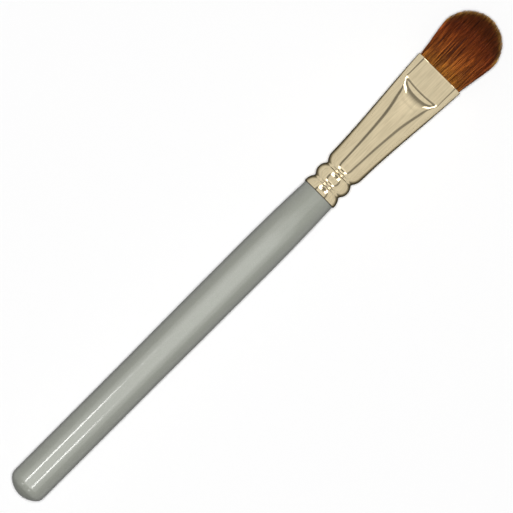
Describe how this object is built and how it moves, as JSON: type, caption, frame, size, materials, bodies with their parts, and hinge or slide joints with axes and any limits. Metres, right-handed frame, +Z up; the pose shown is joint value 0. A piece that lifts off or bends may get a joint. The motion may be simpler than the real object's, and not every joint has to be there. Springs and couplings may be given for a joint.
{
  "type": "eyeshadow brush",
  "caption": "Flat eyeshadow brush with a turned round handle, a crimped ferrule pressed flat at its mouth, and a wide tuft of brown hair with a half-round tip, for laying powder on eyelids.",
  "frame": {"origin": "on the surface the brush lies on, under the middle of its length, on the plane that splits its width", "axes": "+X along the brush from butt to hair, +Y across the broad side, +Z up, square to the broad side"},
  "size_m": [0.16, 0.016, 0.0099],
  "materials": {
    "lacquer": "turned wood under silver-grey metallic lacquer, gloss",
    "plating": "drawn brass, pale champagne gold plating, polished",
    "hair": "brown hair, silky, lighter at the mouth and the tips",
    "resin": "set amber resin",
    "thread": "waxed linen thread",
    "glue": "set wood glue"
  },
  "bodies": {
    "brush": {"handle": "lacquer", "tenon_glue": "glue", "ferrule": "plating", "resin_plug": "resin", "binding_thread": "thread", "hair_root": "hair"},
    "tuft": {"hair_tuft": "hair"}
  },
  "joints": [
    {"name": "tuft_flex", "type": "hinge", "parent": "brush", "child": "tuft", "pos_m": [0.0647, 0, 0.00494], "axis": [0, 1, 0], "range_deg": [-14, 14], "stiffness_Nm_per_rad": 0.005, "deforming": ["hair_tuft"]}
  ]
}
